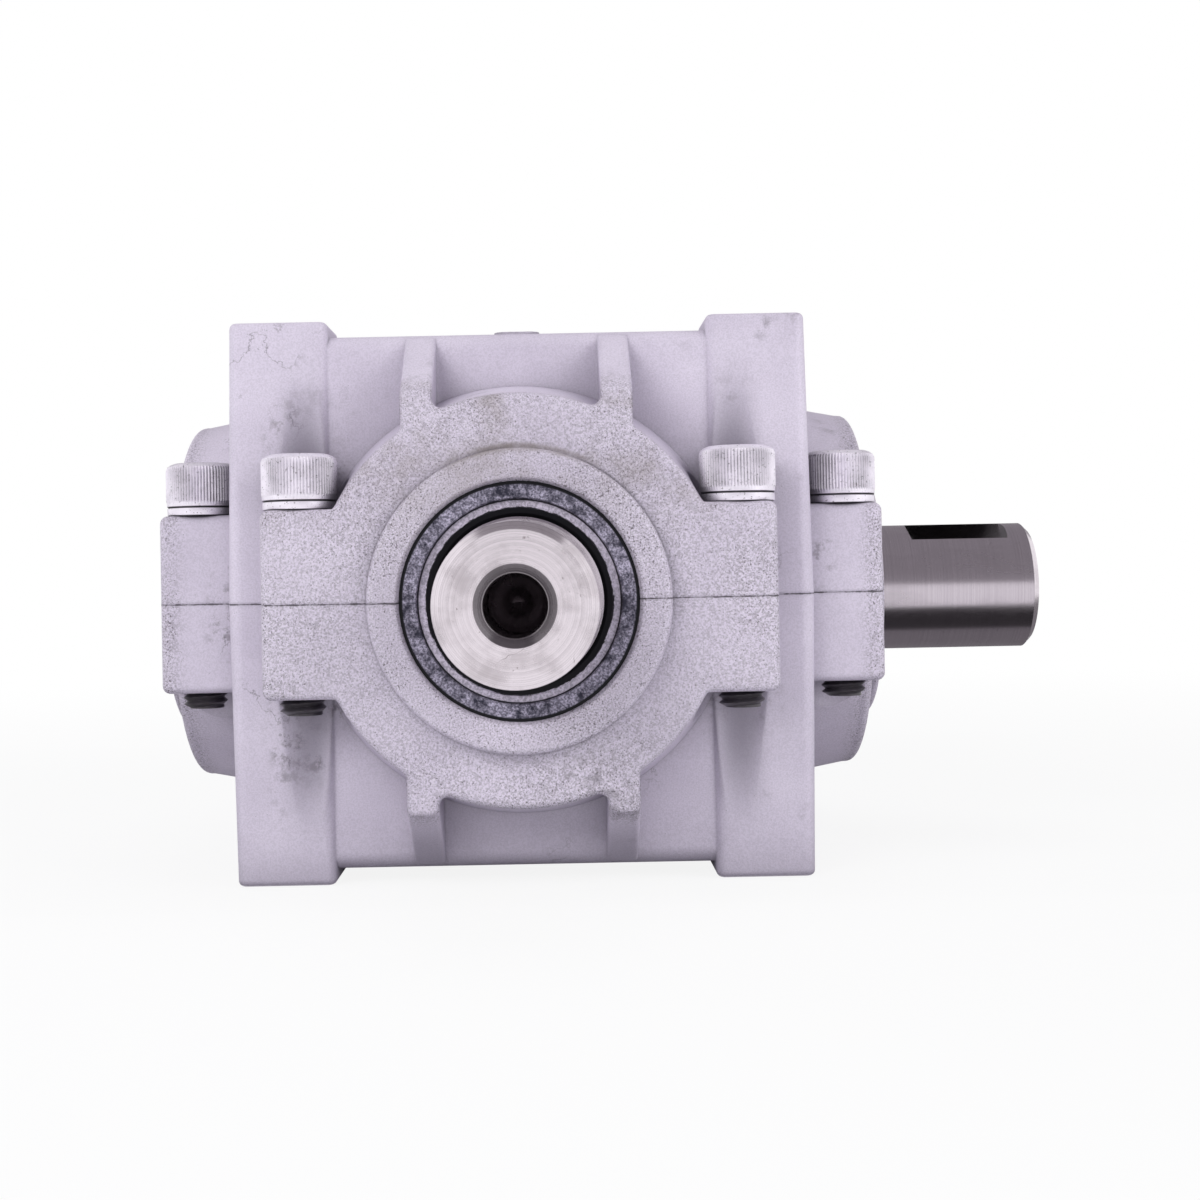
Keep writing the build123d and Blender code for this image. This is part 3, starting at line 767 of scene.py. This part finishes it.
def makeLight(name, lamp):
    # soft panel aimed at the middle of the housing
    light = bpy.data.lights.new(name, "AREA")
    light.shape = "RECTANGLE"
    light.size, light.size_y = lamp["size"]
    light.energy = lamp["power"]
    obj = bpy.data.objects.new(name, light)
    scene.collection.objects.link(obj)
    obj.location = lamp["place"]
    obj.visible_glossy = False
    aim = Vector((0, 0, axisHeight)) - Vector(lamp["place"])
    obj.rotation_euler = aim.to_track_quat("-Z", "Y").to_euler()


def whiteToCamera(tree, output, shaderSocket, share):
    # white by that share where the camera or a mirror sees it, its own shade for all other light
    path = addNode(tree, "ShaderNodeLightPath")
    seen = maths(tree, "MAXIMUM", path.outputs["Is Camera Ray"], path.outputs["Is Glossy Ray"])
    seen = maths(tree, "MAXIMUM", seen, path.outputs["Is Transmission Ray"])
    white = addNode(tree, "ShaderNodeBackground" if output.type == "OUTPUT_WORLD" else "ShaderNodeEmission")
    white.inputs["Color"].default_value = (1, 1, 1, 1)
    white.inputs["Strength"].default_value = 1.0
    mix = addNode(tree, "ShaderNodeMixShader")
    tree.links.new(product(tree, seen, share), mix.inputs["Fac"])
    tree.links.new(shaderSocket, mix.inputs[1])
    tree.links.new(white.outputs[0], mix.inputs[2])
    tree.links.new(mix.outputs[0], output.inputs["Surface"])


studio = {
    "skyColour": (0.96, 0.95, 1.0),
    "skyStrength": 0.35,
    "floorHalf": 3.0,
    "floorLevel": -0.0001,
    "floorColour": (0.78, 0.78, 0.80),
    "whiteNear": 0.88,
    "near": 0.10,
    "far": 0.60,
}


def makeWorld():
    world = bpy.data.worlds.new("studio")
    scene.world = world
    world.use_nodes = True
    tree = world.node_tree
    background = tree.nodes["Background"]
    background.inputs["Color"].default_value = (*studio["skyColour"], 1)
    background.inputs["Strength"].default_value = studio["skyStrength"]
    whiteToCamera(tree, tree.nodes["World Output"], background.outputs[0], 1.0)


def makeFloor():
    half = studio["floorHalf"]
    mesh = bpy.data.meshes.new("floor")
    corners = [(x * half, y * half, studio["floorLevel"]) for x, y in ((-1, -1), (1, -1), (1, 1), (-1, 1))]
    mesh.from_pydata(corners, [], [(0, 1, 2, 3)])
    mat, tree, shader = newMaterial("paleFloor")
    shader.inputs["Base Color"].default_value = (*studio["floorColour"], 1)
    shader.inputs["Roughness"].default_value = 0.8
    distance = addNode(tree, "ShaderNodeVectorMath", operation="LENGTH")
    tree.links.new(objectCoords(tree), distance.inputs[0])
    away = ramp(tree, distance.outputs["Value"], studio["near"], studio["far"], True)
    output = tree.nodes["Material Output"]
    share = raised(tree, away, 1 - studio["whiteNear"], studio["whiteNear"])
    whiteToCamera(tree, output, shader.outputs[0], share)

    # clear from below, so that the underside can be seen
    clear = addNode(tree, "ShaderNodeBsdfTransparent")
    mix = addNode(tree, "ShaderNodeMixShader")
    tree.links.new(addNode(tree, "ShaderNodeNewGeometry").outputs["Backfacing"], mix.inputs["Fac"])
    tree.links.new(output.inputs["Surface"].links[0].from_socket, mix.inputs[1])
    tree.links.new(clear.outputs[0], mix.inputs[2])
    tree.links.new(mix.outputs[0], output.inputs["Surface"])
    mesh.materials.append(mat)
    obj = bpy.data.objects.new("floor", mesh)
    scene.collection.objects.link(obj)


# cards that only reflections see, so that polished steel shows grey and dark bands

tableLevel = 0.0003

cards = {
    "greySky": {"angles": (5, 177), "radius": 0.95, "x": (-0.55, 0.75), "strength": 0.30},
    "darkTable": {"y": (-0.072, -0.012), "x": (-0.25, 0.35), "strength": 0.04},
    "greyTable": {"y": (-0.012, 0.200), "x": (-0.25, 0.35), "strength": 0.20},
}


def makeCard(name, card):
    # sky: y = -r cos(a), z = height + r sin(a); table: a flat strip just above the floor
    across = np.linspace(*card["x"], 2)
    if "angles" in card:
        a = np.radians(np.linspace(*card["angles"], 30))
        y = -card["radius"] * np.cos(a)
        z = axisHeight + card["radius"] * np.sin(a)
    else:
        y = np.linspace(*card["y"], 2)
        z = np.full_like(y, tableLevel)
    sides = (across[None, :], y[:, None], z[:, None])
    grid = np.stack([np.broadcast_to(side, (len(y), 2)) for side in sides], axis=-1)
    mesh = gridMesh(name, grid)
    mat, tree, shader = newMaterial(name)
    shader.inputs["Base Color"].default_value = (0, 0, 0, 1)
    shader.inputs["Specular IOR Level"].default_value = 0
    shader.inputs["Emission Color"].default_value = (1, 0.95, 1, 1)
    shader.inputs["Emission Strength"].default_value = card["strength"]
    mesh.materials.append(mat)
    obj = bpy.data.objects.new(name, mesh)
    scene.collection.objects.link(obj)
    obj.visible_camera = False
    obj.visible_diffuse = False
    obj.visible_shadow = False
    obj.visible_transmission = False


makeCamera()
makeWorld()
makeFloor()
for cardName, cardSize in cards.items():
    makeCard(cardName, cardSize)
for lightName, lamp in lights.items():
    makeLight(lightName, lamp)
scene.view_settings.view_transform = "Standard"
print("camera, lights and floor made")
